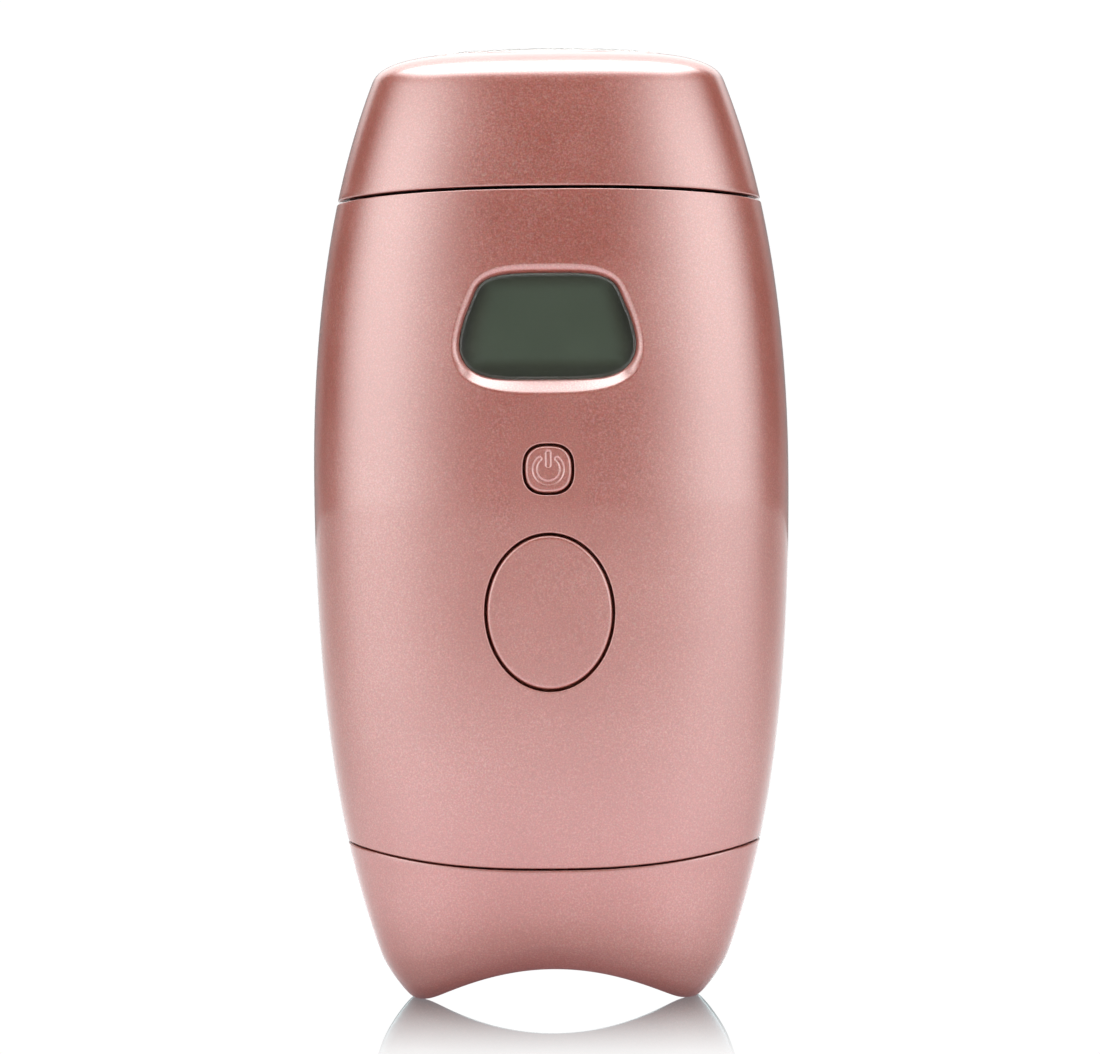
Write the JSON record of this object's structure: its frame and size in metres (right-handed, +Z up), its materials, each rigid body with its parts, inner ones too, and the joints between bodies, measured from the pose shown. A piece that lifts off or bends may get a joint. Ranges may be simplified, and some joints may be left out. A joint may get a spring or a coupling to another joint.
{
  "type": "ipl hair remover",
  "caption": "Hand-held pulsed-light hair remover: barrel-shaped body with display and two push buttons, pull-off lamp head with window, and arched tail with power inlet.",
  "frame": {"origin": "on the ground under the middle of the body, between the two feet", "axes": "+Z up from the feet to the lamp window, -Y out of the front with the display, +X to the right as seen from the front"},
  "size_m": [0.0844, 0.046, 0.1681],
  "materials": {
    "rose_paint": "pearlescent metallic paint under clear coat",
    "black_plastic": "moulded, matt",
    "white_plastic": "moulded, satin",
    "window_clear": "clear, polished",
    "lamp_glass": "clear quartz, polished",
    "lcd_grey": "reflective display, dark green-grey",
    "foam_black": "soft foam",
    "board_green": "solder mask",
    "steel": "zinc plated",
    "brass": "turned",
    "aluminium": "polished",
    "sleeve_dark": "shrink sleeve",
    "winding": "taped winding",
    "wire_red": "silicone sleeve",
    "film_amber": "polyimide film",
    "fan_dark": "moulded"
  },
  "bodies": {
    "handset": {"front_shell": "rose_paint", "rear_shell": "rose_paint", "tail_cap": "rose_paint", "inner_frame": "black_plastic", "head_socket": "black_plastic", "power_switch": "black_plastic", "flash_switch": "black_plastic", "dc_jack": "black_plastic", "control_parts": "black_plastic", "terminals": "black_plastic", "fan_frame": "fan_dark", "socket_sleeves": "brass", "fan_bearing": "brass", "socket_screws": "steel", "tail_screws": "steel", "control_screws": "steel", "main_screws": "steel", "fan_screws": "steel", "jack_pin": "steel", "display_window": "window_clear", "display_gasket": "foam_black", "lcd_panel": "lcd_grey", "lcd_holder": "white_plastic", "control_board": "board_green", "main_board": "board_green", "flash_capacitors": "sleeve_dark", "charge_transformer": "winding", "trigger_coil": "winding", "heat_sink": "aluminium", "air_duct": "white_plastic", "jack_leads": "wire_red", "lamp_leads": "wire_red", "fan_lead": "foam_black", "display_ribbon": "film_amber"},
    "power_key": {"power_button": "rose_paint", "power_plunger": "white_plastic"},
    "flash_key": {"flash_button": "rose_paint", "flash_plunger": "white_plastic"},
    "fan": {"fan_rotor": "fan_dark", "fan_shaft": "steel"},
    "lamp_head": {"head_shell": "rose_paint", "lamp_base": "black_plastic", "window_frame": "white_plastic", "window_glass": "lamp_glass", "reflector": "aluminium", "flash_lamp": "lamp_glass", "lamp_electrodes": "steel", "lamp_clips": "white_plastic", "electrode_leads": "wire_red", "head_pins": "brass", "sensor_switches": "black_plastic"},
    "left_sensor": {"skin_sensor_left": "white_plastic"},
    "right_sensor": {"skin_sensor_right": "white_plastic"}
  },
  "joints": [
    {"name": "power_press", "type": "slide", "parent": "handset", "child": "power_key", "axis": [0, 1, 0], "range_m": [0, 0.0005], "stiffness_N_per_m": 4000},
    {"name": "flash_press", "type": "slide", "parent": "handset", "child": "flash_key", "axis": [0, 1, 0], "range_m": [0, 0.0007], "stiffness_N_per_m": 4000},
    {"name": "fan_spin", "type": "hinge", "parent": "handset", "child": "fan", "pos_m": [0, 0.0126, 0.106], "axis": [0, 1, 0], "continuous": true},
    {"name": "head_pull", "type": "slide", "parent": "handset", "child": "lamp_head", "axis": [0, 0, 1], "range_m": [0, 0.045]},
    {"name": "left_sensor_press", "type": "slide", "parent": "lamp_head", "child": "left_sensor", "axis": [0, 0, -1], "range_m": [0, 0.0008], "stiffness_N_per_m": 700},
    {"name": "right_sensor_press", "type": "slide", "parent": "lamp_head", "child": "right_sensor", "axis": [0, 0, -1], "range_m": [0, 0.0008], "stiffness_N_per_m": 700}
  ]
}
